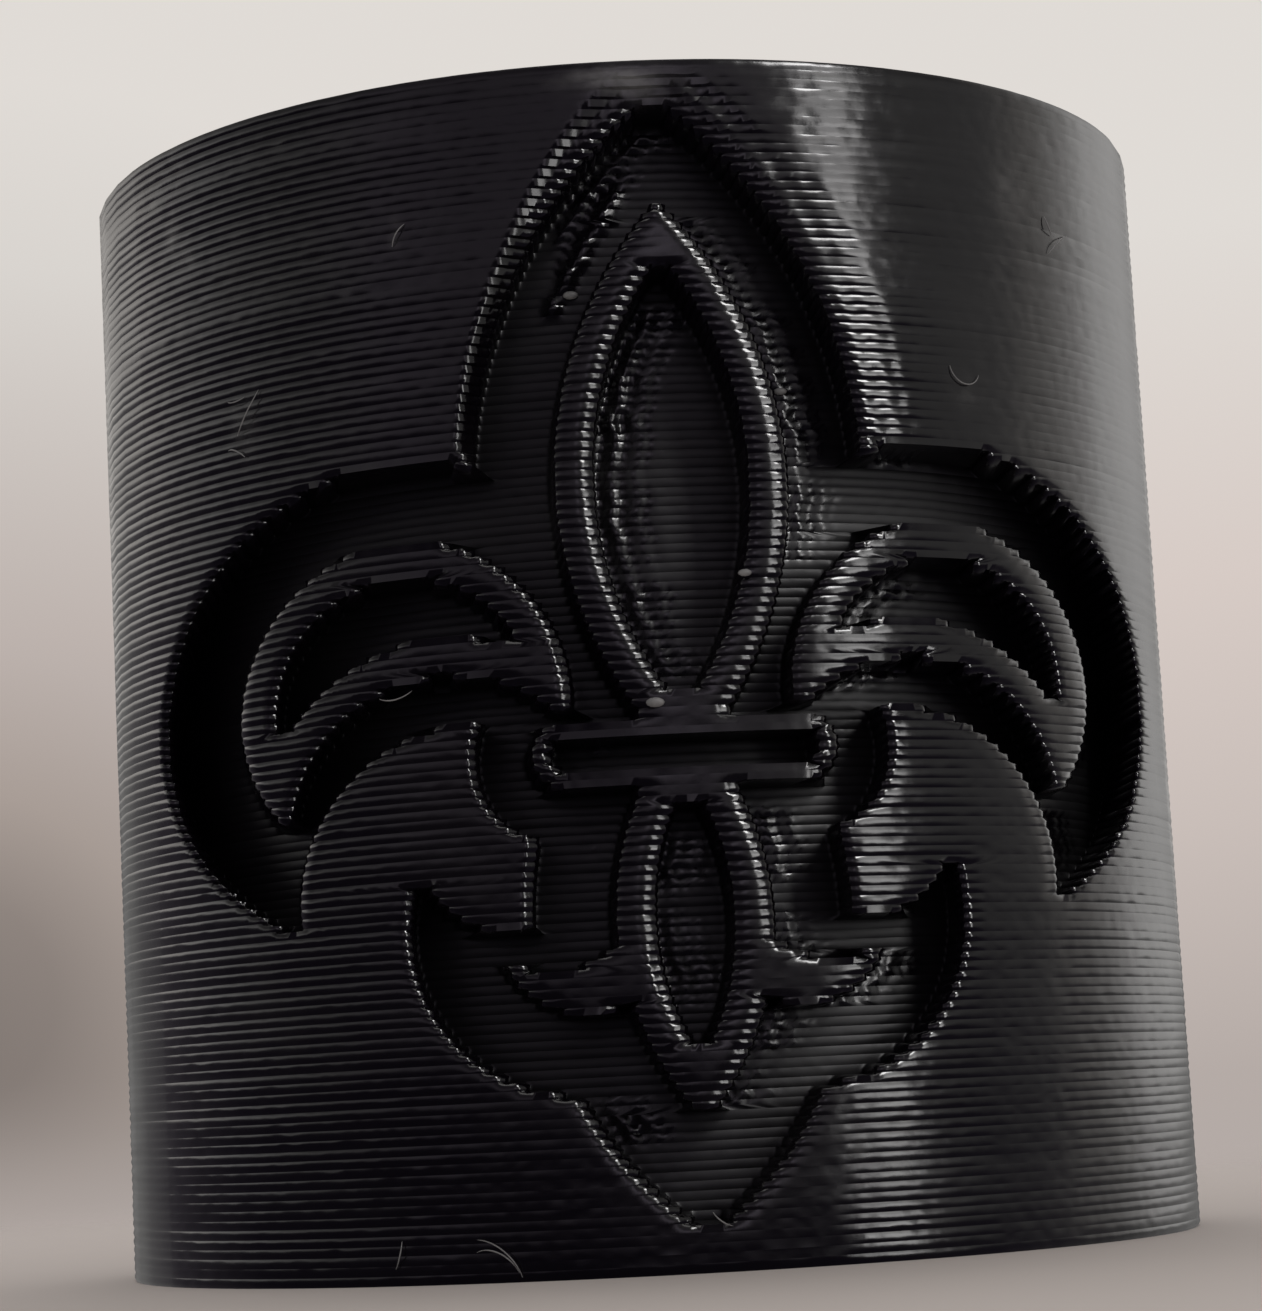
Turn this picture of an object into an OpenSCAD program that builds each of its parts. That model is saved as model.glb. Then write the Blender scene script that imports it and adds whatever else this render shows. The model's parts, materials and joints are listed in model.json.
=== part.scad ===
// Neckerchief slide: a plain printed tube that a rolled neckerchief is drawn through,
// with a heraldic lily on its front. The ground around the lily and the hollows
// of its leaves are sunk into the wall, so the lily stands level with the outside.
// The ring stands on the rim at z = 0, its axis is Z and the lily faces -Y.

/* [Ring] */
// Diameter of the bore that the rolled cloth passes through
bore_d = 20; // [16:0.2:32]
// Thickness of the wall, six printed lines side by side
wall_t = 2.4; // [2:0.4:4]
// Height of the ring, 125 printed layers of 0.2 mm
ring_h = 25; // [24:0.2:40]

/* [Lily] */
// Height of the lily, from the point of its foot to the tip of its middle petal
lily_h = 19.2; // [14:0.2:19.6]
// Depth to which the ground and the hollows are sunk into the wall
recess_depth = 1.5; // [0.4:0.1:1.8]
// Width of the ground that is cleared around the outside of the lily
ground_w = 1.55; // [1:0.05:1.7]
// Width of the ground in the crooks under the curled leaves
crook_w = 1; // [0.7:0.05:1.2]
// Width of the raised line around each hollow
line_w = 0.9; // [0.6:0.05:1.1]
// Width of the slot along the band
slot_w = 0.5; // [0.4:0.05:0.7]

/* [Hidden] */
$fn = 180;

outer_r = bore_d / 2 + wall_t;
// Overlap that makes each cut pass clean through the face it opens
overrun = 1;

// The lily is drawn with compasses on a figure one unit high, and x = 0, y = 0 is its
// middle. A straight leaf is the almond where two equal circles meet. A curled leaf is a
// round back from which a second round, the crook, is taken away.
// Straight leaves: half width, half length, height of the middle
PETAL = [0.128, 0.3125, 0.1875];
TAIL = [0.086, 0.219, -0.281];
// Curled leaves on the right side: the back's and the crook's [x, y, radius]
SIDE_PETAL = [[0.297, -0.036, 0.182], [0.255, -0.177, 0.167]];
SIDE_TAIL = [[0.115, -0.281, 0.099], [0.147, -0.238, 0.089]];
// The band that ties the leaves: half width, half height, height of the middle
BAND = [0.167, 0.039, -0.102];
// How far the crook's centre moves off from the back's when the ground is drawn, so that
// the ground ends in a point beyond the leaf's own
POINT_REACH = 0.07;

// Almond of two equal circles, with grow added to their radius
module almond(leaf, grow = 0) {
    w = leaf[0] * lily_h;
    l = leaf[1] * lily_h;
    radius = (w * w + l * l) / (2 * w);
    translate([0, leaf[2] * lily_h])
        intersection() {
            translate([w - radius, 0]) circle(r = radius + grow);
            translate([radius - w, 0]) circle(r = radius + grow);
        }
}

// Left and right copy of what is drawn on the right
module both_sides() {
    children();
    mirror([1, 0]) children();
}

// Curled leaf on each side: the back grows by grow, and the crook shrinks by crook_grow
// while its centre moves off by reach
module curl(leaf, grow = 0, crook_grow = 0, reach = 0) {
    back = leaf[0] * lily_h;
    crook = leaf[1] * lily_h;
    way = [crook[0] - back[0], crook[1] - back[1]];
    moved = way * (1 + reach / norm(way));
    both_sides()
        translate([back[0], back[1]])
            difference() {
                circle(r = back[2] + grow);
                translate(moved) circle(r = crook[2] - crook_grow + reach);
            }
}

// Band with round ends, of the half height given, on the axis of the band
module bar(half_w, half_h) {
    translate([0, BAND[2] * lily_h])
        union() {
            square([2 * (half_w - half_h), 2 * half_h], center = true);
            both_sides() translate([half_w - half_h, 0]) circle(r = half_h);
        }
}

module band(grow = 0) {
    bar(BAND[0] * lily_h + grow, BAND[1] * lily_h + grow);
}

// The raised lily without its hollows
module figure() {
    almond(PETAL);
    curl(SIDE_PETAL);
    almond(TAIL);
    curl(SIDE_TAIL);
    band();
}

// The same leaves, grown by the width of the ground
module ground() {
    reach = POINT_REACH * lily_h;
    almond(PETAL, ground_w);
    curl(SIDE_PETAL, ground_w, crook_w, reach);
    almond(TAIL, ground_w);
    curl(SIDE_TAIL, ground_w, crook_w, reach);
    band(crook_w);
}

// The same leaves, drawn in by the width of the raised line, and the slot in the band
module hollows() {
    slot_end = BAND[1] * lily_h - slot_w / 2;
    difference() {
        union() {
            almond(PETAL, -line_w);
            curl(SIDE_PETAL, -line_w, -line_w);
            almond(TAIL, -line_w);
        }
        band(line_w / 2);
    }
    bar(BAND[0] * lily_h - slot_end, slot_w / 2);
}

// All that is sunk into the front: the outlines run straight back as far as a core
// that leaves the recess its depth below the round outside
module recess() {
    difference() {
        translate([0, 0, ring_h / 2])
            rotate([90, 0, 0])
                linear_extrude(height = outer_r + overrun)
                    union() {
                        difference() {
                            ground();
                            figure();
                        }
                        hollows();
                    }
        cylinder(r = outer_r - recess_depth, h = ring_h);
    }
}

module slide_ring() {
    color("#1d1b1c")
        difference() {
            cylinder(r = outer_r, h = ring_h);
            translate([0, 0, -overrun]) cylinder(d = bore_d, h = ring_h + 2 * overrun);
            recess();
        }
}

slide_ring();
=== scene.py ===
import json
import math

import bpy
import numpy as np
from mathutils import Matrix, Vector


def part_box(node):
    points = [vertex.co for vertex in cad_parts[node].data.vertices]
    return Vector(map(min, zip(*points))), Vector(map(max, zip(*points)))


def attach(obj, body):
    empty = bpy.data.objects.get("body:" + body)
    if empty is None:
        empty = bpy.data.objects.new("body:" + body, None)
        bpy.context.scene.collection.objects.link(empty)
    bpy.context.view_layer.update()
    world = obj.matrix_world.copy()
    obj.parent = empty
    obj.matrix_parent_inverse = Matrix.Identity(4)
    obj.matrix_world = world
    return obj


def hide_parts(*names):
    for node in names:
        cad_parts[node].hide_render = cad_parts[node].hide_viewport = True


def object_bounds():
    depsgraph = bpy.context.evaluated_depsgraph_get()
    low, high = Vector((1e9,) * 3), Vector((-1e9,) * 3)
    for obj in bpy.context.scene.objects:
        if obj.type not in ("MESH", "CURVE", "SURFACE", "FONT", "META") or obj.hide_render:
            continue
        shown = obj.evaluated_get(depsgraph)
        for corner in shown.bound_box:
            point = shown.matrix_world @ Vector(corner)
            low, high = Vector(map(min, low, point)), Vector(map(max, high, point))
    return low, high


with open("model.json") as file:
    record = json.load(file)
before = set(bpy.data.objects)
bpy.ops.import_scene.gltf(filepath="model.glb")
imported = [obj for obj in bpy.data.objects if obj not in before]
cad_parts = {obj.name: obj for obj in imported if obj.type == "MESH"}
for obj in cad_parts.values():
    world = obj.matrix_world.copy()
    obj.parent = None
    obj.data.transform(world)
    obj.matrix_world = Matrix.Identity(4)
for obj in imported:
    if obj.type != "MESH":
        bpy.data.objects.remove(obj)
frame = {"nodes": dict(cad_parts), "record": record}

cad_low, cad_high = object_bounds()
MM = 0.001

# The view. The ring stands on a pale table, and the photo looks at its front from close by,
# just above the table top, a little upwards and with the camera leant to one side.
PHOTO_W, PHOTO_H = 1262, 1311
FOCAL_LENGTH_PX = 3461.8
CAMERA_AWAY = 82.4 * MM
CAMERA_HEIGHT = 3.43 * MM
CAMERA_AZIMUTH = -4.4
LOOK_UP, LEAN, TURN = 7.37, 3.02, 0.08
SENSOR = 36.0
CLIP_FROM, CLIP_TO = 1 * MM, 3000 * MM


def turned(degrees, axis):
    return Matrix.Rotation(math.radians(degrees), 4, axis)


def seen_from(azimuth, elevation):
    """Direction from the ring towards a place. Azimuth 0 is at the camera, positive to its right."""
    a, e = math.radians(azimuth + CAMERA_AZIMUTH), math.radians(elevation)
    return Vector((math.sin(a) * math.cos(e), -math.cos(a) * math.cos(e), math.sin(e)))


def new_object(name, data):
    """An object in the scene that shows a camera, a light or a mesh."""
    made = bpy.data.objects.new(name, data)
    bpy.context.scene.collection.objects.link(made)
    return made


camera = new_object("camera", bpy.data.cameras.new("camera"))
camera.data.sensor_width = SENSOR
camera.data.lens = FOCAL_LENGTH_PX / max(PHOTO_W, PHOTO_H) * SENSOR
camera.data.clip_start, camera.data.clip_end = CLIP_FROM, CLIP_TO
camera_place = seen_from(0, 0) * CAMERA_AWAY + Vector((0, 0, CAMERA_HEIGHT))
camera.matrix_world = (Matrix.Translation(camera_place) @ turned(CAMERA_AZIMUTH + TURN, "Z")
                       @ turned(LOOK_UP, "X") @ turned(LEAN, "Y") @ turned(90, "X"))
bpy.context.scene.camera = camera

# The light. A tall narrow window right of the camera draws the bright streak down the ring. Its
# top pane, too high for the plain sides, glints on the lips. A ceiling light falls on the table.
LAMP_COLOUR = (1.0, 0.985, 0.98)
WINDOW_AZIMUTH, WINDOW_AWAY, WINDOW_WIDTH = 47.5, 420, 74
# Name, elevation of the middle, height and brightness of each pane
WINDOW_PANES = [
    ("window_low", 5, 103, 7.6), ("window_strip", 26.5, 217, 5.0), ("window_top", 41, 120, 24.0)]
CEILING_AZIMUTH, CEILING_ELEVATION, CEILING_AWAY = 180, 64, 700
CEILING_SIZE, CEILING_BRIGHTNESS = 500, 2.2

bpy.context.scene.view_settings.view_transform = "Standard"


def panel(name, azimuth, elevation, away, width, height, brightness):
    """Soft light of the given brightness that faces the middle of the ring. Sizes in mm."""
    data = bpy.data.lights.new(name, "AREA")
    data.shape, data.size, data.size_y = "RECTANGLE", width * MM, height * MM
    data.energy = brightness * math.pi * data.size * data.size_y
    data.color = LAMP_COLOUR
    light = new_object(name, data)
    way = seen_from(azimuth, elevation)
    middle = Vector((0, 0, (cad_low.z + cad_high.z) / 2))
    light.location = middle + way * away * MM
    light.rotation_mode = "QUATERNION"
    light.rotation_quaternion = (-way).to_track_quat("-Z", "Y")
    light.visible_camera = False
    return light


for name, elevation, height, brightness in WINDOW_PANES:
    pane = panel(name, WINDOW_AZIMUTH, elevation, WINDOW_AWAY, WINDOW_WIDTH, height, brightness)
    pane.visible_diffuse = False
ceiling = panel("ceiling", CEILING_AZIMUTH, CEILING_ELEVATION, CEILING_AWAY, CEILING_SIZE, CEILING_SIZE,
                CEILING_BRIGHTNESS)
ceiling.visible_glossy = False

# The room is a round of soft light. Seen in the ring it is dim behind the camera and bright
# behind the ring on its right, with a darker lower half. Seen behind the ring it is a pale wall.
TINTS = {"warm": (1.04, 1.0, 0.96), "violet": (1.04, 0.93, 1.12), "night": (1.0, 0.88, 1.3),
         "rosy": (1.09, 0.97, 0.92), "plain": (1.01, 1.0, 0.99)}

world = bpy.data.worlds.new("room")
bpy.context.scene.world = world
world.use_nodes = True
room = world.node_tree
room.nodes.clear()


def feed(tree, socket, value):
    """Give an input a value, or link another node's output to it."""
    if isinstance(value, bpy.types.NodeSocket):
        tree.links.new(value, socket)
    else:
        socket.default_value = value


def new_node(tree, kind, settings, *inputs, **named_inputs):
    """A node with its settings and its inputs, the first ones in order and others by name."""
    node = tree.nodes.new(kind)
    for name, value in settings.items():
        setattr(node, name, value)
    for socket, value in zip(node.inputs, inputs):
        feed(tree, socket, value)
    for name, value in named_inputs.items():
        feed(tree, node.inputs[name.replace("_", " ")], value)
    return node


def combined(tree, operation, first, second):
    """The sum, product or the like of two numbers."""
    return new_node(tree, "ShaderNodeMath", {"operation": operation}, first, second).outputs[0]


def mapped(tree, source, before, after=(0.0, 1.0), kind="LINEAR"):
    """A number taken from the span before to the span after, and held at its ends."""
    settings = {"interpolation_type": kind}
    return new_node(tree, "ShaderNodeMapRange", settings, source, *before, *after).outputs[0]


def mixed(tree, kind, factor, first, second):
    """A mix of two colours."""
    settings = {"data_type": "RGBA", "blend_type": kind}
    return new_node(tree, "ShaderNodeMix", settings, Factor=factor, A=first, B=second).outputs["Result"]


def room_vector(operation, vector):
    """A number worked out from the direction of a ray of light and a fixed vector."""
    node = new_node(room, "ShaderNodeVectorMath", {"operation": operation}, room_direction, vector)
    return node.outputs["Value"]


def room_ramp(source, ends, stops):
    """Colours over a number between two ends. Each stop is [number, brightness, tint]."""
    ramp = new_node(room, "ShaderNodeValToRGB", {}, mapped(room, source, ends))
    while len(ramp.color_ramp.elements) < len(stops):
        ramp.color_ramp.elements.new(0.5)
    for element, (value, brightness, tint) in zip(ramp.color_ramp.elements, stops):
        element.position = (value - ends[0]) / (ends[1] - ends[0])
        element.color = (*(brightness * part for part in TINTS[tint]), 1)
    return ramp.outputs["Color"]


def room_curve(source, ends, stops):
    """A number that follows another between two ends. Each stop is [other number, number]."""
    lowest = min(number for _, number in stops)
    highest = max(number for _, number in stops)
    ramp = room_ramp(source, ends, [(value, (number - lowest) / (highest - lowest), "plain")
                                    for value, number in stops])
    return mapped(room, ramp, (0.0, 1.0), (lowest, highest))


def room_light(colour):
    return new_node(room, "ShaderNodeBackground", {}, colour).outputs[0]


room_direction = new_node(room, "ShaderNodeTexCoord", {}).outputs["Generated"]
upwards = room_vector("DOT_PRODUCT", (0, 0, 1))
to_right = room_vector("DOT_PRODUCT", seen_from(90, 0))
to_camera = room_vector("DOT_PRODUCT", seen_from(0, 0))
ray_azimuth = combined(room, "MULTIPLY", combined(room, "ARCTAN2", to_right, to_camera), 180 / math.pi)

# What the ring mirrors, by the azimuth in degrees: the room above the table's edge, the room
# below it, how high that edge is and how soft. Heights are sines of the elevation.
AROUND = (-180.0, 180.0)
upper_round = room_ramp(ray_azimuth, AROUND, [
    (-180, 0.5, "warm"), (-150, 0.7, "warm"), (-128, 1.4, "warm"), (-105, 1.32, "plain"),
    (-76, 0.74, "plain"), (-50, 0.4, "violet"), (-32, 0.29, "violet"), (-6, 0.3, "violet"),
    (8, 0.42, "violet"), (50, 0.4, "plain"), (88, 0.48, "plain"), (102, 0.78, "warm"),
    (126, 1.6, "plain"), (157, 0.5, "plain"), (180, 0.5, "warm")])
lower_round = room_ramp(ray_azimuth, AROUND, [
    (-180, 0.2, "plain"), (-150, 0.3, "plain"), (-125, 0.14, "violet"), (-95, 0.05, "night"),
    (-35, 0.03, "night"), (15, 0.035, "night"), (75, 0.09, "night"), (95, 0.17, "violet"),
    (112, 0.28, "plain"), (132, 0.42, "plain"), (180, 0.1, "plain")])
table_edge = room_curve(ray_azimuth, AROUND, [
    (-180, 0.08), (-135, 0.185), (-60, 0.185), (-20, 0.07), (70, 0.01), (105, -0.045), (128, -0.05),
    (150, -0.005), (180, 0.08)])
edge_width = room_curve(ray_azimuth, AROUND, [
    (-180, 0.05), (-75, 0.045), (-35, 0.14), (60, 0.16), (92, 0.14), (112, 0.05), (180, 0.04)])
over_edge = combined(room, "DIVIDE", combined(room, "SUBTRACT", upwards, table_edge), edge_width)
above = mapped(room, over_edge, (-1.0, 1.0), kind="SMOOTHSTEP")

# The room grows darker overhead, sooner so on the left. Straight above is the lit ceiling.
UPWARDS = (0.0, 1.0)
CEILING_EDGE, CEILING_LIGHT = (0.86, 0.97), (1.9, 1.85, 1.8, 1)
overhead = room_ramp(upwards, UPWARDS, [(0.35, 1, "plain"), (0.6, 0.5, "plain"), (0.9, 0.5, "plain")])
overhead_left = room_ramp(upwards, UPWARDS, [
    (0.26, 1, "plain"), (0.38, 0.5, "plain"), (0.55, 0.25, "plain")])
leftness = room_curve(ray_azimuth, AROUND, [
    (-180, 0.0), (-150, 1.0), (-76, 1.0), (-50, 0.0), (180, 0.0)])
overhead = mixed(room, "MIX", leftness, overhead, overhead_left)
zenith = mapped(room, upwards, CEILING_EDGE, kind="SMOOTHSTEP")
round_light = mixed(room, "MULTIPLY", 1, mixed(room, "MIX", above, lower_round, upper_round), overhead)

# A faint glow behind the camera lights the plastic above the arch.
GLOW_AT, GLOW_REACH = seen_from(8, 19), 0.23
glow = room_ramp(room_vector("DISTANCE", GLOW_AT), (0.0, GLOW_REACH), [
    (0, 0.6, "violet"), (0.5 * GLOW_REACH, 0.32, "violet"), (GLOW_REACH, 0, "violet")])
mirrored = mixed(room, "MIX", zenith, mixed(room, "ADD", 1, round_light, glow), CEILING_LIGHT)

# The pale wall that is seen behind the ring, with a soft shade on its left.
WALL_SPAN, WALL_FOOT = (-0.5, 0.5), (-0.05, 0.02)
SHADE_AT, SHADE_REACH = seen_from(191.5, 2.2), 0.26
wall = room_ramp(upwards, WALL_SPAN, [
    (-0.3, 0.52, "rosy"), (-0.06, 0.41, "rosy"), (0.0, 0.42, "rosy"), (0.07, 0.53, "rosy"),
    (0.14, 0.615, "rosy"), (0.24, 0.71, "warm")])
shade = room_ramp(room_vector("DISTANCE", SHADE_AT), (0.0, SHADE_REACH), [
    (0, 0.42, "warm"), (0.03, 0.46, "warm"), (0.06, 0.62, "warm"), (0.1, 0.74, "plain"),
    (0.16, 0.84, "plain"), (0.21, 0.93, "plain"), (SHADE_REACH, 1, "plain")])
over_table = mapped(room, upwards, WALL_FOOT, kind="SMOOTHSTEP")
seen = mixed(room, "MULTIPLY", over_table, wall, shade)

FILL_LIGHT = (0.44, 0.43, 0.42, 1)
path = new_node(room, "ShaderNodeLightPath", {})
last = room_light(FILL_LIGHT)
for ray, colour in (("Is Glossy Ray", mirrored), ("Is Camera Ray", seen)):
    last = new_node(room, "ShaderNodeMixShader", {}, path.outputs[ray], last, room_light(colour)).outputs[0]
new_node(room, "ShaderNodeOutputWorld", {}, last)

# The table. A pale sheet of paper, which takes the ring's shadow and fades into the room's
# light further out, so that no edge shows behind the ring.
TABLE_RADIUS, TABLE_CORNERS = 260 * MM, 96
FADE, SHEET_ALPHA = (14 * MM, 90 * MM), (0.85, 0.0)
PAPER, PAPER_ROUGHNESS, PAPER_SHINE = (0.6, 0.54, 0.505, 1), 0.9, 0.1


def new_material(name):
    material = bpy.data.materials.new(name)
    material.use_nodes = True
    return material


def set_shader(material, inputs):
    """Set inputs of the material's shader, each to a value or to a node's output."""
    shader = material.node_tree.nodes["Principled BSDF"]
    for name, value in inputs.items():
        feed(material.node_tree, shader.inputs[name], value)


bpy.ops.mesh.primitive_circle_add(vertices=TABLE_CORNERS, radius=TABLE_RADIUS, fill_type="NGON")
table = bpy.context.object
table.name = "table"
paper = new_material("pale_paper")
sheet = paper.node_tree
place = new_node(sheet, "ShaderNodeTexCoord", {}).outputs["Object"]
reach = new_node(sheet, "ShaderNodeVectorMath", {"operation": "LENGTH"}, place).outputs["Value"]
set_shader(paper, {"Base Color": PAPER, "Roughness": PAPER_ROUGHNESS, "Specular IOR Level": PAPER_SHINE,
                   "Alpha": mapped(sheet, reach, FADE, SHEET_ALPHA, "SMOOTHSTEP")})
table.data.materials.append(paper)
table.visible_glossy = False

# The ring. It is one black plastic print, laid down in level lines of plastic, layer on
# layer. Its mesh is made the same way: the CAD solid is sliced, and each slice is a bead.

# Lengths are in mm and angles in degrees. Where something comes or goes softly, a pair gives the
# place where there is none of it and the place where it is all there.
LAYER, LINE, NOZZLE = 0.2, 0.4, 0.36
RECESS = 1.5
# How near the floor's radius a slice counts as floor, how near two spans of it are one, and the
# shortest span that is printed
FLOOR_SLACK, SPAN_SLACK, SHORTEST_SPAN = 0.04, 0.02, 0.5 * NOZZLE
# The mesh: columns between the two edges of the front, round the back and in the bore. Each wall of
# the recess has a pair of them this far to either side, and the rest crowd towards the walls.
FRONT_EDGE = 11.25
BEYOND = 3 * FRONT_EDGE
FRONT_COLUMNS, BACK_COLUMNS, BORE_COLUMNS = 300, 38, 52
WALL_PAIR, WALL_CROWDING = 0.012, 0.45
# How deep the line between two beads is at each x on the front, and in other places
GROOVE_X = (-9, -4.5, -1, 2.5, 3.2, 5.2, 6.2, 7.7, 8.4, 10)
GROOVES = (0.029, 0.013, 0.007, 0.004, 0.027, 0.023, 0.007, 0.007, 0.022, 0.016)
HIDDEN_GROOVE, LIP_GROOVE, FLOOR_GROOVE, RIM_GROOVE = 0.015, 0.04, 0.03, 0.03
# Where it is shallower: by what share, from which sides, and at which heights
CALM_PLACES = [
    (0.4, [(-5, -2), (3, 2)], (16, 8)), (0.45, [(2, 3)], (18, 21)), (0.3, [(6.5, 8)], (12, 16))]
# A few lines on the upper right, each named by the layer over it, are deeper than the rest
DEEP_GROOVES, DEEP_GROOVE, DEEP_SIDE = (84, 97, 106, 107, 110), 0.011, (2.5, 4)
RIM_ROUND = 0.05
# A lip on the left of a raised strip: how far it falls away at each distance from the wall, and the
# scale of both
LIP_X = (0, 0.03, 0.06, 0.12, 0.18, 0.24, 0.3, 0.36, 0.42)
LIP_DROPS = (0.245, 0.194, 0.168, 0.124, 0.086, 0.053, 0.025, 0.006, 0)
LIP_SCALE = 0.5
# A lip on the right of a raised strip has a short edge, and before it a run that mirrors the window
EDGE_X, EDGE_DROPS = (0, 0.03, 0.06, 0.1), (0.13, 0.08, 0.04, 0)
LIP_RUN, RUN_DROP, RIGHT_LIP = 0.26, 0.15, (-0.1, 0.1)
NEAR_WALL, FOOT_RADIUS = (0.5, 0.15), 0.1
# The lips are glossier than the rest and the floor is duller, but not its ripples
LIP_DULL, LIP_SHEEN, FLOOR_DULL, FLAT_FLOOR = -0.04, (0.45, 0.25), 0.3, (0.012, 0.004)
# The wall mirrors the window where it faces this many degrees right, and less so to the right
WINDOW_TURN, WINDOW_TURN_LESS = 19.5, 0.45
# The least and the most that each part is turned to mirror it
LIP_TURNS, FLOOR_TURNS, BORDER_TURNS, SLOPE_TURNS = (6, 42), (12, 50), (6, 50), (3, 24)
# The border over the arch: a step on the left, which moves out, and a slope on the right
ARCH_FROM, ARCH_SLACK, FAR_OFF = 17, 0.1, 9.0
BORDER_HEIGHT, BORDER_BELOW_RIM = (ARCH_FROM - 0.3, ARCH_FROM + 0.1), (0.3, 0.7)
BORDER_FROM, BORDER_WIDTH, BORDER_OUT, BORDER_OUT_SIDE = 0.16, 0.3, 0.26, (-3.6, -1.2)
SLOPE_REACH, SLOPE_DROP, SLOPE_POWER, SLOPE_GROOVE = 1.3, 0.09, 1.3, 0.018
SLOPE_SIDE, SLOPE_NEAR_ARCH = (-0.5, 0.3), (1.5, 1.0)
# The ripples that the nozzle leaves after a corner, where the floor is wide enough
RIPPLE_FIRST, RIPPLE_PERIOD, RIPPLE_REACH = 0.42, 0.52, 0.7
RIPPLE_START, RIPPLE_END = (RIPPLE_FIRST - RIPPLE_PERIOD, RIPPLE_FIRST), (1.52, 1.12)
RIPPLE_ROOM, RIPPLE_SIDE = (0.7, 1.4), (-2.4, -1.2)
# A row of small ridges on the floor beside the petal's tip: x and z at its ends, and their outline
RIDGE_ROW = ((-2.4, 20.0), (-0.75, 22.6))
RIDGE_X, RIDGE_SHAPE, RIDGE_OFF_WALL = (-0.1, 0, 0.34), (0, 1, 0), (0.02, 0.15)
# A bead's middle moves towards the slice that steps back: by so much where it is an edge and by this
# share of it elsewhere, in full from such a difference of depth on
STEP_LIFT, PLAIN_LIFT, FULL_LIFT = 0.055, 0.4, 0.04
# It is an edge where the slice above or below is floor, or where the border below is deeper
LEDGE_OFF_WALL, LEDGE_SLACK, BORDER_STEP = 0.25, 0.1, 0.012
# The line between two slices is sunk where either is, a little wider and with narrow gaps closed
BETWEEN_GAP, BETWEEN_GROWTH = 0.12, 0.02

low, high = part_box("slide_ring")
outer_r = (high.x - low.x) / 2 / MM
floor_r = outer_r - RECESS
ring_h = (high.z - low.z) / MM
bore_r = next(m["dims"]["r_mm"] for m in frame["record"]["mounts"] if m["name"] == "neckerchief_bore")
layers = round(ring_h / LAYER)

cad = frame["nodes"]["slide_ring"].data
cad.calc_loop_triangles()
corners = np.array([v.co for v in cad.vertices]) / MM
triangles = corners[np.array([t.vertices for t in cad.loop_triangles])]


def joined(spans, gap):
    """The spans in order, with those less than gap apart made one."""
    out = []
    for a, b in sorted(spans):
        if out and a - out[-1][1] < gap:
            out[-1] = (out[-1][0], max(b, out[-1][1]))
        else:
            out.append((a, b))
    return out


def sunk_spans(z):
    """Stretches of x over which the slice at height z runs along the floor of the recess."""
    above = triangles[:, :, 2] > z
    crossed = triangles[above.any(1) & ~above.all(1)]
    ends = []
    for a, b in ((0, 1), (1, 2), (2, 0)):
        p, q = crossed[:, a], crossed[:, b]
        share = (z - p[:, 2]) / np.where(p[:, 2] == q[:, 2], 1, q[:, 2] - p[:, 2])
        point = p + share[:, None] * (q - p)
        point[(p[:, 2] > z) == (q[:, 2] > z)] = np.nan
        ends.append(point)
    ends = np.stack(ends, 1)
    on_floor = np.abs(np.hypot(ends[..., 0], ends[..., 1]) - floor_r) < FLOOR_SLACK
    x = ends[(on_floor | np.isnan(ends[..., 0])).all(1)][..., 0]
    if not len(x):
        return []
    return joined(zip(np.nanmin(x, 1), np.nanmax(x, 1)), SPAN_SLACK)


def printable(spans):
    """What a round nozzle leaves of them: no raised sliver and no slot narrower than its line."""
    return [(a, b) for a, b in joined(spans, NOZZLE) if b - a > SHORTEST_SPAN]


def columns_for(spans):
    """x of the front columns, with one on either side of each wall and more near the walls."""
    step = 2 * FRONT_EDGE / (FRONT_COLUMNS - 1)
    at, x = [0], [-FRONT_EDGE]
    for wall in sorted(w for span in spans for w in span):
        column = max(int((wall + FRONT_EDGE) / step), at[-1] + 1)
        at += [column, column + 1]
        x += [wall - WALL_PAIR, wall + WALL_PAIR]
    at.append(FRONT_COLUMNS - 1)
    x.append(FRONT_EDGE)
    columns = np.arange(FRONT_COLUMNS)
    before = np.clip(np.searchsorted(at, columns, "right") - 1, 0, len(at) - 2)
    first, last = np.array(at)[before], np.array(at)[before + 1]
    share = (columns - first) / (last - first)
    crowding = np.where((first == 0) | (last == FRONT_COLUMNS - 1), 0, WALL_CROWDING)
    share = share - crowding * np.sin(2 * math.pi * share) / (2 * math.pi)
    first_x, last_x = np.array(x)[before], np.array(x)[before + 1]
    return first_x + share * (last_x - first_x)


def middle_of(k):
    """Height of the middle of layer k."""
    return (k + 0.5) * LAYER


def smooth_step(value, start, end):
    """0 at the start and 1 at the end, with a soft step between. The end may be the lower one."""
    t = np.clip((value - start) / (end - start), 0, 1)
    return t * t * (3 - 2 * t)


def rounded(distance, radius):
    """How far a quarter round of that radius has dropped at a distance from the edge."""
    inside = np.clip(radius - distance, 0, radius)
    return radius - np.sqrt(radius ** 2 - inside ** 2)


def window_turn(x, radius, least, most):
    """Slope that turns the wall at x so that it mirrors the window, as a drop to the right."""
    facing = np.radians(WINDOW_TURN - WINDOW_TURN_LESS * x)
    turn = facing - np.arcsin(np.clip(x / radius, -1, 1))
    return np.tan(np.clip(turn, np.radians(least), np.radians(most)))


def ripple(distance):
    """The shiver of the nozzle after a corner: it dies away with the distance from it."""
    past = distance - RIPPLE_FIRST
    lasting = smooth_step(distance, *RIPPLE_START) * smooth_step(distance, *RIPPLE_END)
    return lasting * np.exp(-past / RIPPLE_REACH) * np.cos(2 * math.pi * past / RIPPLE_PERIOD)


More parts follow.
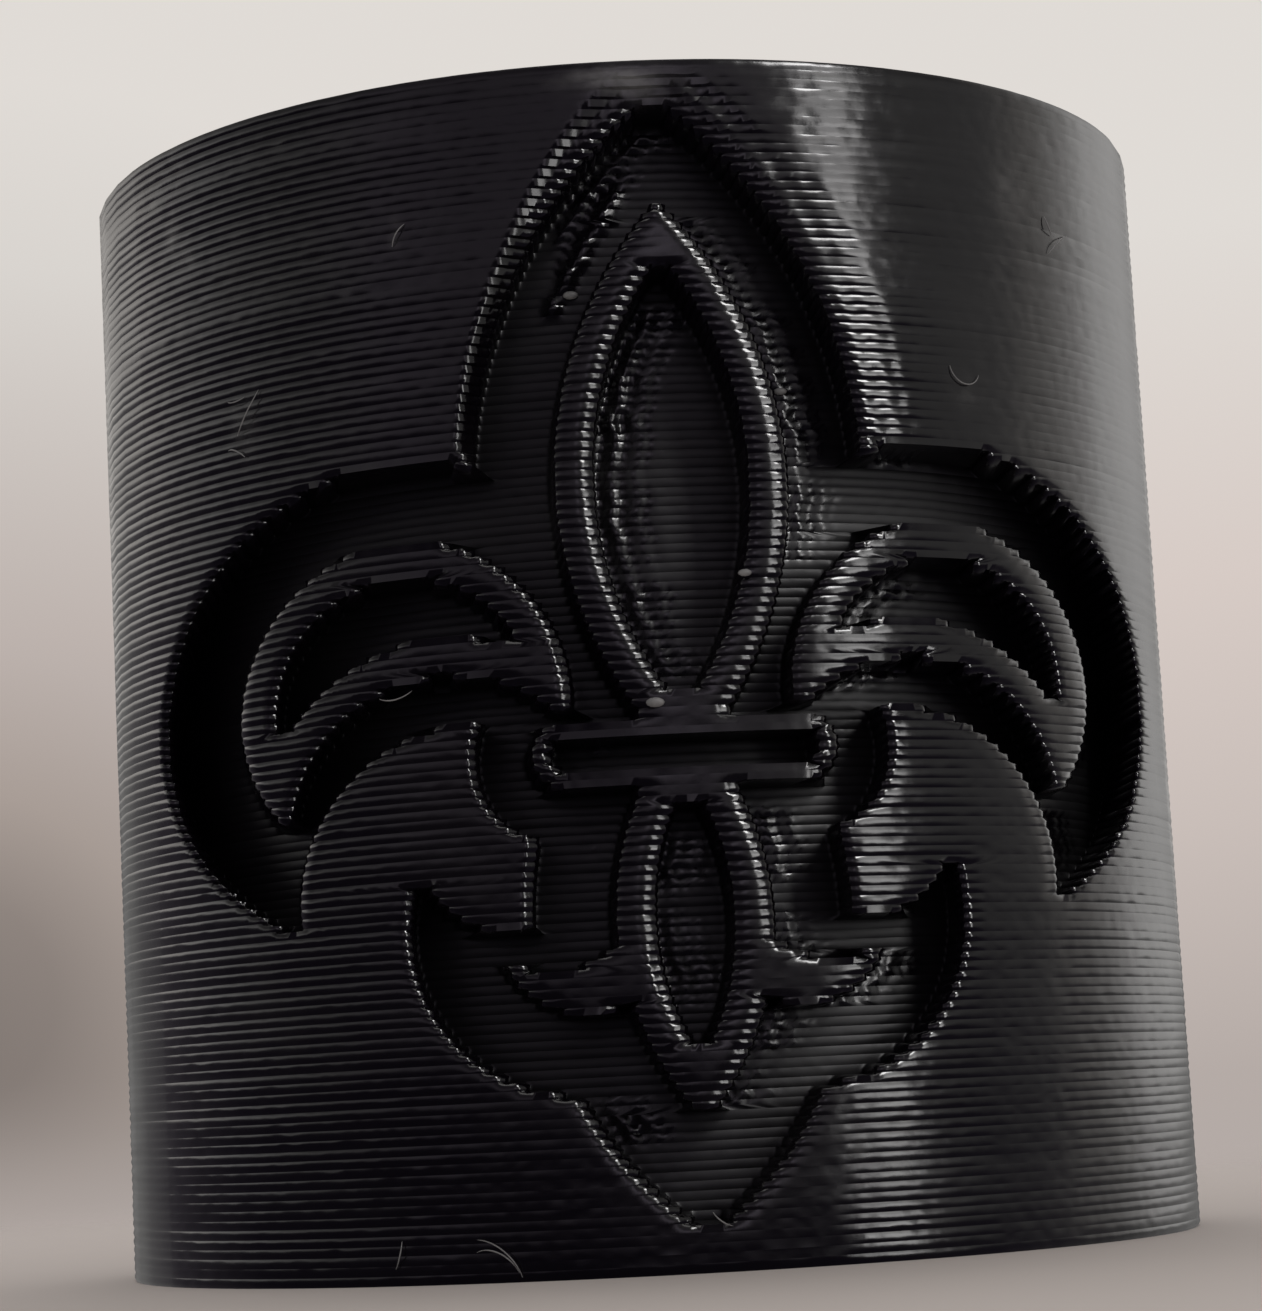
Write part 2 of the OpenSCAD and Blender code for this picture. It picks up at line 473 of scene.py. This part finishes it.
def ripple_height(x, radius, turns):
    """Height of a ripple at x whose steep side mirrors the window."""
    return window_turn(x, radius, *turns) * RIPPLE_PERIOD / (2 * math.pi)


def ridges(x, k):
    """Height of the ridge on the floor at each x of layer k."""
    z = middle_of(k)
    (low_x, low_z), (high_x, high_z) = RIDGE_ROW
    if not low_z <= z <= high_z:
        return 0 * x
    top = low_x + (high_x - low_x) * (z - low_z) / (high_z - low_z) + slips[k]
    shape = ridge_heights[k] * np.interp(x - top, RIDGE_X, RIDGE_SHAPE, 0, 0)
    return shape * RIDGE_X[-1] * window_turn(x, floor_r, *FLOOR_TURNS)


def arch_border(x, k):
    """Depth of the arch's border on layer k, and how much of its right slope is there. On its left
    it is a step that mirrors the window, on its right a slope that shivers."""
    z = middle_of(k)
    if z < BORDER_HEIGHT[0]:
        return 0 * x, 0 * x
    gap = np.full_like(x, FAR_OFF)
    for n, (a, b) in arch_spans:
        rise = max(abs(n - k) - 0.5, 0) * LAYER
        gap = np.minimum(gap, np.hypot(np.maximum(np.maximum(a - x, x - b), 0), rise))
    end = BORDER_FROM + BORDER_OUT * smooth_step(x, *BORDER_OUT_SIDE) + BORDER_WIDTH
    step = BORDER_WIDTH * window_turn(x, outer_r, *BORDER_TURNS) * np.clip((end - gap) / BORDER_WIDTH, 0, 1)
    slope = SLOPE_DROP * np.clip(1 - gap / SLOPE_REACH, 0, 1) ** SLOPE_POWER
    slope = slope - shivers[k] * ripple_height(x, outer_r, SLOPE_TURNS) * ripple(gap + slips[k])
    right = smooth_step(x, *SLOPE_SIDE)
    share = smooth_step(z, *BORDER_HEIGHT) * smooth_step(ring_h - z, *BORDER_BELOW_RIM)
    return share * ((1 - right) * step + right * slope), share * right * smooth_step(gap, *SLOPE_NEAR_ARCH)


def strips_of(x, spans):
    """For each x: how far it lies after and before the nearest walls, whether it is on the floor, and
    whether it is outside them all."""
    walls = np.array(sorted(w for span in spans for w in span))
    ends = np.concatenate([[-BEYOND], walls, [BEYOND]])
    strip = np.clip(np.searchsorted(walls, x), 0, len(walls))
    return x - ends[strip], ends[strip + 1] - x, strip % 2 == 1, (strip == 0) | (strip == len(walls))


def layer_depth(x, k):
    """Depth of layer k below the outside at each x, with its lips. Then the border's part of it, and
    how much of the right slope is there."""
    if not 0 <= k < layers:
        return 0 * x, 0 * x, 0 * x
    after, before, is_floor, outside = strips_of(x, slices[k])
    border, sloped = (outside * part for part in arch_border(x, k))
    turn = window_turn(x, outer_r, *LIP_TURNS)
    run = np.minimum(LIP_RUN, RUN_DROP / turn)
    right_lip = np.interp(before, EDGE_X, EDGE_DROPS) + turn * np.clip(EDGE_X[-1] + run - before, 0, run)
    left_lip = LIP_SCALE * np.interp(after / LIP_SCALE, LIP_X, LIP_DROPS)
    falls_right = smooth_step(after - before, *RIGHT_LIP)
    lip = falls_right * right_lip + (1 - falls_right) * left_lip
    return np.where(is_floor, RECESS, np.maximum(lip + border, 0)), border, sloped


def line_depth(x, k, sloped):
    """Depth of the line under layer k at each x away from the walls."""
    calmer = 0
    for share, sides, heights in CALM_PLACES:
        calmer = calmer + share * smooth_step(k * LAYER, *heights) \
            * np.prod([smooth_step(x, *side) for side in sides], 0)
    deeper = DEEP_GROOVE * (k in DEEP_GROOVES) * smooth_step(x, *DEEP_SIDE)
    return np.interp(x, GROOVE_X, GROOVES) * (1 - calmer) + SLOPE_GROOVE * sloped + deeper


def floor_shake(x, after, before, beside):
    """Height of the ripples and ridges on the floor at each x, as the mean of the layers beside."""
    shiver, slip = np.mean([shivers[k] for k in beside]), np.mean([slips[k] for k in beside])
    share = smooth_step(after + before, *RIPPLE_ROOM) * smooth_step(x, *RIPPLE_SIDE)
    ripples = share * shiver * ripple(after + slip) * ripple_height(x, floor_r, FLOOR_TURNS)
    off_wall = smooth_step(np.minimum(after, before), *RIDGE_OFF_WALL)
    return ripples + off_wall * np.mean([ridges(x, k) for k in beside], 0)


def depth_at(x, spans, groove, beside):
    """Depth of the surface below the outside at each x, how much duller it is, how far a bead's middle
    lies off its height, and where its middle is an edge. groove: 0 on a bead, about 1 between two."""
    after, before, is_floor, _ = strips_of(x, spans)
    distance = np.minimum(after, before)
    depths = [layer_depth(x, k) for k in beside]
    line = line_depth(x, beside[-1], depths[-1][2])
    line = line + (LIP_GROOVE - line) * smooth_step(distance, *NEAR_WALL)
    raised = np.max([np.where(is_floor, 0, depth) for depth, _, _ in depths], 0) + groove * line
    shake = floor_shake(x, after, before, beside)
    floor = RECESS + groove * FLOOR_GROOVE - rounded(distance, FOOT_RADIUS) - shake
    dull = np.where(is_floor, FLOOR_DULL * smooth_step(np.abs(shake), *FLAT_FLOOR),
                    LIP_DULL * smooth_step(distance, *LIP_SHEEN))
    lifted, stepped = 0 * x, np.zeros(x.shape, bool)
    if not groove:
        (below, border_below, _), (above, _, _) = (layer_depth(x, beside[0] + way) for way in (-1, 1))
        ledge = (distance > LEDGE_OFF_WALL) & (np.maximum(below, above) > RECESS - LEDGE_SLACK)
        stepped = ~is_floor & (ledge | (border_below - depths[0][1] > BORDER_STEP))
        lifted = ~is_floor * np.where(stepped, 1, PLAIN_LIFT) * np.clip((above - below) / FULL_LIFT, -1, 1)
    return np.where(is_floor, floor, raised), dull, lifted, stepped


# How many waves go round the front of a layer, and round its back and bore
WAVES = np.array([9, 14, 21, 34, 52, 71, 97, 128])
SLOW_WAVES = np.array([3, 5, 8, 12, 0, 0, 0, 0])
WAVE_HEIGHT, BORE_PHASE = 0.0018, 1


def waves(angle, phases, counts=WAVES):
    """The slight unevenness of a printed line along its length."""
    return np.abs(WAVE_HEIGHT * np.sin(counts * angle[:, None] + phases).sum(1))


slices = [printable(sunk_spans(middle_of(k))) for k in range(layers)]
arch_spans = [(k, (spans[0][0], spans[-1][1])) for k, spans in enumerate(slices)
              if spans and middle_of(k) > ARCH_FROM - ARCH_SLACK]

# What differs from layer to layer. The nozzle shivers in spells of some layers, and more so beside
# the petal. Three layers lie a little deeper than the rest.
WOBBLE_SEED = 41
OFFSET_SPREAD, SLIP_SPREAD = 0.002, 0.06
DEEP_LAYERS, DEEP_OFFSETS = [103, 106, 107], (0.009, 0.007, 0.004)
GROOVE_RANGE, SHIVER_RANGE, RIDGE_RANGE = (0.78, 1.22), (0.5, 1.5), (0.8, 1.25)
SPELL_LAYERS, SPELL_CALM, SPELL_SPREAD, SPELL_MIDDLE, SPELL_RANGE = 9, 2.2, 1.6, 0.7, (0.1, 1.2)
PETAL_LAYERS, PETAL_LEAST, PETAL_MORE = slice(72, 114), 0.5, 0.45

wobble = np.random.default_rng(WOBBLE_SEED)
phases = wobble.uniform(0, 2 * math.pi, (layers, len(WAVES)))
offsets = np.abs(wobble.normal(0, OFFSET_SPREAD, layers))
offsets[DEEP_LAYERS] += DEEP_OFFSETS
groove_depths = wobble.uniform(*GROOVE_RANGE, layers)
spell_draws = wobble.normal(0, SPELL_SPREAD, layers + SPELL_LAYERS - 1)
spell_window = np.hanning(SPELL_LAYERS + 2)[1:-1] / SPELL_CALM
spells = np.clip(np.convolve(spell_draws, spell_window, "valid") + SPELL_MIDDLE, *SPELL_RANGE)
spells[PETAL_LAYERS] = np.maximum(spells[PETAL_LAYERS], PETAL_LEAST) + PETAL_MORE
shivers = spells * wobble.uniform(*SHIVER_RANGE, layers)
slips = wobble.normal(0, SLIP_SPREAD, layers)
ridge_heights = wobble.uniform(*RIDGE_RANGE, layers)

# Rows of the outside from bottom to top: height, sunk spans, groove, inset, phases, layers beside
rows = [(0.0, [], 0, RIM_ROUND, phases[0], (0,))]
for k in range(layers):
    if k:
        both = joined(slices[k - 1] + slices[k], BETWEEN_GAP)
        rows.append((k * LAYER, [(a - BETWEEN_GROWTH, b + BETWEEN_GROWTH) for a, b in both],
                     groove_depths[k], 0, (phases[k] + phases[k - 1]) / 2, (k - 1, k)))
    rows.append((middle_of(k), slices[k], 0, offsets[k], phases[k], (k,)))
rows.append((ring_h, [], 0, RIM_ROUND, phases[-1], (layers - 1,)))


def around(angles, radius, z):
    """Points at the given angles round the ring, from its front."""
    radius = np.broadcast_to(radius, angles.shape)
    return np.stack([radius * np.sin(angles), -radius * np.cos(angles), np.full_like(radius, z)], 1)


edge_angle = math.asin(FRONT_EDGE / outer_r)
back_angles = np.linspace(edge_angle, 2 * math.pi - edge_angle, BACK_COLUMNS + 2)[1:-1]
back_grooves = np.interp(back_angles, (edge_angle, math.pi, 2 * math.pi - edge_angle),
                         (GROOVES[-1], HIDDEN_GROOVE, GROOVES[0]))
outer, dulls, edged = [], [], []
for z, spans, groove, inset, phase, beside in rows:
    x = columns_for(spans)
    depth, dull, lifted, stepped = depth_at(x, spans, groove, beside)
    radius = outer_r - inset - depth - waves(np.arcsin(x / outer_r), phase)
    front = np.stack([x, -np.sqrt(radius ** 2 - x ** 2), z + STEP_LIFT * lifted], 1)
    radius = outer_r - inset - groove * back_grooves - waves(back_angles, phase, SLOW_WAVES)
    outer.append(np.concatenate([front, around(back_angles, radius, z)]))
    dulls.append(np.concatenate([dull, np.zeros(BACK_COLUMNS)]))
    edged.append(np.concatenate([stepped, np.zeros(BACK_COLUMNS, bool)]))
outer = np.array(outer)
OUTER_COLUMNS = FRONT_COLUMNS + BACK_COLUMNS

# Loops of the top rim, down the bore and of the lower rim. The rims show the lines of the wall.
bore_angles = np.linspace(0, 2 * math.pi, BORE_COLUMNS, endpoint=False)
wall_lines = round((outer_r - bore_r) / LINE)
rim_steps = [(outer_r - LINE * (i + 1) / 2, RIM_GROOVE * (i % 2)) for i in range(2 * wall_lines - 1)]
loops = [around(bore_angles, radius, ring_h - dip) for radius, dip in rim_steps]
for z, _, groove, inset, phase, _ in reversed(rows):
    radius = bore_r + inset + groove * HIDDEN_GROOVE + waves(bore_angles, phase + BORE_PHASE, SLOW_WAVES)
    loops.append(around(bore_angles, radius, z))
loops += [around(bore_angles, radius, dip) for radius, dip in reversed(rim_steps)]
loops = np.array(loops)


def quad_rows(first, count, columns):
    """Faces between each ring of points and the next, all closed round."""
    ring = first + np.arange(count)[:, None] * columns + np.arange(columns)
    after = np.roll(ring, -1, 1)
    return np.stack([ring[:-1], after[:-1], after[1:], ring[1:]], -1).reshape(-1, 4)


def zipped(first, first_points, second, second_points, flip):
    """Triangles that join two rings with different numbers of points."""
    def angles(points):
        return np.unwrap(np.arctan2(points[:, 0], -points[:, 1]))
    a, b = angles(first_points), angles(second_points)
    b = b + 2 * math.pi * round((a[0] - b[0]) / (2 * math.pi))
    start = int(np.argmin(np.abs(np.angle(np.exp(1j * (b - a[0]))))))
    b = np.concatenate([b[start:], b[:start] + 2 * math.pi])
    b -= 2 * math.pi * round((b[0] - a[0]) / (2 * math.pi))
    order = [second + (start + j) % len(b) for j in range(len(b))]
    a_end, b_end = np.append(a, a[0] + 2 * math.pi), np.append(b, b[0] + 2 * math.pi)
    out, i, j = [], 0, 0
    while i < len(a) or j < len(b):
        if j >= len(b) or (i < len(a) and a_end[i + 1] <= b_end[j + 1]):
            face = (first + i, first + (i + 1) % len(a), order[j % len(b)])
            i += 1
        else:
            face = (first + i % len(a), order[(j + 1) % len(b)], order[j])
            j += 1
        out.append(face[::-1] if flip else face)
    return out


def new_mesh_object(name, points, edges, faces):
    """An object in the scene with a mesh of its own name."""
    mesh = bpy.data.meshes.new(name)
    mesh.from_pydata(points, edges, faces)
    return new_object(name, mesh)


vertices = np.concatenate([outer.reshape(-1, 3), loops.reshape(-1, 3)])
loops_start = outer.shape[0] * OUTER_COLUMNS
top_row = (len(outer) - 1) * OUTER_COLUMNS
last_loop = loops_start + (len(loops) - 1) * BORE_COLUMNS
quads = np.concatenate([quad_rows(0, len(outer), OUTER_COLUMNS),
                        quad_rows(loops_start, len(loops), BORE_COLUMNS)])
caps = zipped(top_row, outer[-1], loops_start, loops[0], False)
caps += zipped(0, outer[0], last_loop, loops[-1], True)
ring = new_mesh_object("printed_ring", (vertices * MM).tolist(), [], quads.tolist() + caps)
ring.data.shade_smooth()


def on_outer(values):
    """The values of the outer rows' points, and 0 for all others."""
    out = np.zeros(len(vertices))
    out[:loops_start] = np.array(values).ravel()
    return out


# The bottom of each line is a crease, and so is a bead's middle where it steps back
row_of = np.repeat(np.arange(len(outer) + len(loops)),
                   [OUTER_COLUMNS] * len(outer) + [BORE_COLUMNS] * len(loops))
row_creases = [n % 2 == 0 for n in range(len(rows))]
rim_creases = [i % 2 == 1 for i in range(len(rim_steps))]
creases = np.array(row_creases + rim_creases + row_creases + rim_creases)
is_stepped = on_outer(edged) > 0
edges = np.zeros(len(ring.data.edges) * 2, int)
ring.data.edges.foreach_get("vertices", edges)
one, other = edges.reshape(-1, 2).T
sharp = (row_of[one] == row_of[other]) & (creases[row_of[one]] | (is_stepped[one] & is_stepped[other]))
ring.data.attributes.new("sharp_edge", "BOOLEAN", "EDGE").data.foreach_set("value", sharp)

# Where fingers and lint have dulled the outside: angle, height, half width, half height, strength
SMEARS = [
    (-3.5, 24.65, 4.5, 0.25, 1.0), (-1.0, 24.4, 3.0, 0.25, 0.4), (-56.5, 22.9, 1.4, 0.3, 0.7),
    (-54.0, 22.3, 1.6, 0.25, 0.5), (39.5, 22.6, 2.2, 0.6, 0.35), (47.5, 21.9, 1.8, 0.15, 0.8),
    (31.6, 18.1, 1.6, 0.35, 0.3), (-45.5, 18.2, 1.5, 0.6, 0.3), (-26.2, 21.8, 0.6, 0.25, 0.4),
    (42.0, 9.0, 5.0, 1.2, 0.25), (18.4, 1.9, 1.0, 0.2, 0.5), (14.4, 2.3, 0.8, 0.15, 0.5),
    (-42.7, 9.1, 0.7, 0.2, 0.6), (-47.4, 10.5, 0.8, 0.2, 0.5)]
SMEAR_REACH = 0.3
x, y, z = vertices.T
around_ring = np.degrees(np.arctan2(x, -y))
on_outside = np.hypot(x, y) > outer_r - SMEAR_REACH
smears = np.zeros(len(vertices))
for angle, height, half_width, half_height, strength in SMEARS:
    off = ((around_ring - angle) / half_width) ** 2 + ((z - height) / half_height) ** 2
    smears += on_outside * strength * np.exp(-off)
ring.data.attributes.new("smear", "FLOAT", "POINT").data.foreach_set("value", np.clip(smears, 0, 1))
ring.data.attributes.new("duller", "FLOAT", "POINT").data.foreach_set("value", on_outer(dulls))

# Handling leaves faint dull patches, and each line cooled a little duller or glossier. For each
# noise: size, stretch and detail, then the span of it that counts and what that adds
PLASTIC, PLASTIC_DUSTY = (0.003, 0.002, 0.0038, 1), (0.008, 0.0068, 0.0078, 1)
PLASTIC_SMEARED = (0.15, 0.147, 0.147, 1)
PLASTIC_IOR = 1.46
PATCHES, PATCH_SPAN, PATCH_ROUGHNESS, DUST_SPAN = (4.0, 1, 3), (0.35, 0.75), (0.13, 0.22), (0.5, 0.8)
LINES, LINE_SPAN, LINE_ROUGHNESS = (LAYER, 6.0 / LAYER, 1), (0.3, 0.7), (-0.03, 0.05)
BREAKS, BREAK_SPAN, BREAK_SHARE = (0.35, 2, 4), (0.35, 0.65), (0.1, 1.0)
SPECKS, SPECK_HEIGHT = (0.12, 1, 2), 0.0012 * MM

plastic = new_material("black_print_plastic")
skin = plastic.node_tree
place = new_node(skin, "ShaderNodeTexCoord", {}).outputs["Object"]


def plastic_noise(size, stretch, detail):
    """Noise with features of the given size in mm, stretched along x and y but not along z."""
    squeezed = new_node(skin, "ShaderNodeMapping", {}, Vector=place, Scale=(1 / stretch, 1 / stretch, 1))
    noise = new_node(skin, "ShaderNodeTexNoise", {}, Vector=squeezed.outputs[0], Scale=1 / (size * MM),
                     Detail=detail)
    return noise.outputs["Fac"]


def plastic_attribute(name):
    return new_node(skin, "ShaderNodeAttribute", {"attribute_name": name}).outputs["Fac"]


patches = plastic_noise(*PATCHES)
roughness = combined(skin, "ADD", mapped(skin, patches, PATCH_SPAN, PATCH_ROUGHNESS),
                     mapped(skin, plastic_noise(*LINES), LINE_SPAN, LINE_ROUGHNESS))
roughness = combined(skin, "ADD", roughness, plastic_attribute("duller"))
broken = mapped(skin, plastic_noise(*BREAKS), BREAK_SPAN, BREAK_SHARE)
smeared = combined(skin, "MULTIPLY", plastic_attribute("smear"), broken)
colour = mixed(skin, "MIX", mapped(skin, patches, DUST_SPAN), PLASTIC, PLASTIC_DUSTY)
colour = mixed(skin, "MIX", smeared, colour, PLASTIC_SMEARED)
specks = plastic_noise(*SPECKS)
bump = new_node(skin, "ShaderNodeBump", {}, Strength=1, Distance=SPECK_HEIGHT, Height=specks)
set_shader(plastic, {"IOR": PLASTIC_IOR, "Roughness": roughness, "Base Color": colour,
                     "Normal": bump.outputs[0]})
ring.data.materials.append(plastic)

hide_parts("slide_ring")
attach(ring, "root")

# The hairs. Where the hot nozzle let go it drew out threads of the same plastic, finer than a
# human hair, which curl and cling to the outside. Each is a tube along its own path.
HAIR_POINTS, HAIR_SIDES, HAIR_RADIUS = 15, 6, 0.015
HAIR_OFF_WALL, HAIR_LOWEST = 0.02, 0.03
# Place along a hair and the share of its radius there
TAPER_START, TAPER_MIDDLE, TAPER_END = (0.0, 0.45), (0.5, 1.0), (1.0, 0.2)
# Angle round the ring, height, length, heading, turn along the length, lift
HAIRS = [
    (-46.4, 18.1, 1.15, 40, 25, 0.10), (-45.2, 18.9, 0.55, 205, -50, 0.06),
    (-45.4, 17.6, 0.6, 130, 60, 0.08), (-26.4, 21.5, 0.55, 70, -30, 0.06),
    (49.5, 22.0, 1.0, 195, 40, 0.08), (46.5, 21.9, 0.5, 150, -60, 0.05),
    (29.8, 18.6, 1.1, -80, 150, 0.04), (-18.0, 0.1, 1.3, 105, 75, 0.16),
    (-18.3, 0.2, 1.1, 110, 95, 0.2), (-30.8, 0.35, 0.6, 50, 50, 0.08),
    (-29.9, 12.0, 0.8, -20, 60, 0.05), (0.0, 1.2, 0.5, -60, 50, 0.1)]
THREAD_DARK, THREAD_PALE, THREAD_ROUGHNESS = (0.12, 0.115, 0.12, 1), (0.36, 0.35, 0.35, 1), 0.6
MOTTLE_SIZE = 0.2 * MM


def on_ring(angle, radius, z):
    """Place at an angle in radians round the ring from its front, at a radius and height in mm."""
    return radius * math.sin(angle) * MM, -radius * math.cos(angle) * MM, z * MM


def new_tree(name, sizes):
    """A geometry tree with a named input for each size, and the outputs of its input node."""
    tree = bpy.data.node_groups.new(name, "GeometryNodeTree")
    tree.interface.new_socket("Geometry", in_out="INPUT", socket_type="NodeSocketGeometry")
    tree.interface.new_socket("Geometry", in_out="OUTPUT", socket_type="NodeSocketGeometry")
    for size, kind in sizes.items():
        tree.interface.new_socket(size, in_out="INPUT", socket_type=kind)
    return tree, new_node(tree, "NodeGroupInput", {}).outputs


def end_tree(tree, geometry, material):
    """Hand the geometry out of the tree, made real and with its material."""
    real = new_node(tree, "GeometryNodeRealizeInstances", {}, Geometry=geometry)
    finish = new_node(tree, "GeometryNodeSetMaterial", {}, Geometry=real.outputs[0], Material=material)
    new_node(tree, "NodeGroupOutput", {}, Geometry=finish.outputs[0])


def grown(carrier, tree, sizes, name):
    """The mesh that the tree makes of the carrier, as a plain object. The carrier goes."""
    modifier = carrier.modifiers.new(tree.name, "NODES")
    modifier.node_group = tree
    for item in tree.interface.items_tree:
        if item.name in sizes:
            modifier[item.identifier] = sizes[item.name]
    evaluated = carrier.evaluated_get(bpy.context.evaluated_depsgraph_get())
    mesh, carrier_mesh = bpy.data.meshes.new_from_object(evaluated), carrier.data
    bpy.data.objects.remove(carrier)
    bpy.data.meshes.remove(carrier_mesh)
    mesh.name = name
    return new_object(name, mesh)


hair_points, hair_edges = [], []
for angle, height, length, heading, turn, lift in HAIRS:
    at, way = math.radians(angle), math.radians(heading)
    step = length / (HAIR_POINTS - 1)
    for i in range(HAIR_POINTS):
        radius = outer_r + HAIR_OFF_WALL + lift * math.sin(math.pi * (i / (HAIR_POINTS - 1)))
        hair_points.append(on_ring(at, radius, height))
        if i:
            hair_edges.append((len(hair_points) - 2, len(hair_points) - 1))
        at += step * math.cos(way) / outer_r
        height = max(height + step * math.sin(way), HAIR_LOWEST)
        way += math.radians(turn) / (HAIR_POINTS - 1)
hairs = new_mesh_object("plastic_hairs", hair_points, hair_edges, [])

thread = new_material("drawn_plastic_thread")
place = new_node(thread.node_tree, "ShaderNodeTexCoord", {}).outputs["Object"]
mottle = new_node(thread.node_tree, "ShaderNodeTexNoise", {}, Vector=place, Scale=1 / MOTTLE_SIZE)
pale = mixed(thread.node_tree, "MIX", mottle.outputs["Fac"], THREAD_DARK, THREAD_PALE)
set_shader(thread, {"Roughness": THREAD_ROUGHNESS, "Base Color": pale})

tree, given = new_tree("tube_along_path", {"Thickness": "NodeSocketFloat", "Sides": "NodeSocketInt"})
along = new_node(tree, "GeometryNodeSplineParameter", {})
taper = new_node(tree, "ShaderNodeFloatCurve", {}, Value=along.outputs["Factor"])
taper_points = taper.mapping.curves[0].points
taper_points[0].location = TAPER_START
taper_points[1].location = TAPER_END
taper_points.new(*TAPER_MIDDLE)
taper.mapping.update()
curve = new_node(tree, "GeometryNodeMeshToCurve", {}, Mesh=given["Geometry"])
profile = new_node(tree, "GeometryNodeCurvePrimitiveCircle", {}, Resolution=given["Sides"],
                   Radius=given["Thickness"])
tube = new_node(tree, "GeometryNodeCurveToMesh", {}, Curve=curve.outputs[0],
                Profile_Curve=profile.outputs[0], Scale=taper.outputs[0], Fill_Caps=True)
smooth = new_node(tree, "GeometryNodeSetShadeSmooth", {}, Geometry=tube.outputs[0])
end_tree(tree, smooth.outputs[0], thread)
hairs = grown(hairs, tree, {"Thickness": HAIR_RADIUS * MM, "Sides": HAIR_SIDES}, "plastic_hairs")
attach(hairs, "root")

# The blobs. Where the nozzle stopped and started again it left small round beads of plastic,
# in the recess and on its lips. Their pale grey is a painted glint.
BLOB_SEED = 5
# Angle round the ring and height
BLOBS = [(6.4, 14.1), (-2.8, 11.5), (13.4, 18.2), (-9.5, 20.4)]
BLOB_SIZES = {"Smallest": 0.06 * MM, "Largest": 0.13 * MM, "Seed": BLOB_SEED}
BLOB_SHAPE = (1.5, 0.8, 0.8)
BLOB_SEGMENTS, BLOB_RINGS = 10, 6
# How high its middle is over the floor, and how far from the walls a blob has to be to lie there
BLOB_LIFT, BLOB_OFF_WALL = 0.05, 0.1

blob_points = []
for angle, height in BLOBS:
    at = math.radians(angle)
    on_floor = any(a + BLOB_OFF_WALL < floor_r * math.sin(at) < b - BLOB_OFF_WALL
                   for a, b in slices[int(height / LAYER)])
    blob_points.append(on_ring(at, outer_r - (RECESS - BLOB_LIFT if on_floor else 0), height))
blobs = new_mesh_object("print_blobs", blob_points, [], [])

tree, given = new_tree("beads_on_points", {"Smallest": "NodeSocketFloat", "Largest": "NodeSocketFloat",
                                           "Seed": "NodeSocketInt"})
bead = new_node(tree, "GeometryNodeMeshUVSphere", {}, Segments=BLOB_SEGMENTS, Rings=BLOB_RINGS, Radius=1.0)
size = new_node(tree, "FunctionNodeRandomValue", {"data_type": "FLOAT"}, Min=given["Smallest"],
                Max=given["Largest"], Seed=given["Seed"])
scaled = new_node(tree, "ShaderNodeVectorMath", {"operation": "SCALE"}, BLOB_SHAPE, Scale=size.outputs[1])
smooth = new_node(tree, "GeometryNodeSetShadeSmooth", {}, Geometry=bead.outputs["Mesh"])
placed = new_node(tree, "GeometryNodeInstanceOnPoints", {}, Points=given["Geometry"],
                  Instance=smooth.outputs[0], Scale=scaled.outputs[0])
# The blobs take the threads' pale grey, which paints glints on them
end_tree(tree, placed.outputs[0], thread)
blobs = grown(blobs, tree, BLOB_SIZES, "print_blobs")
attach(blobs, "root")
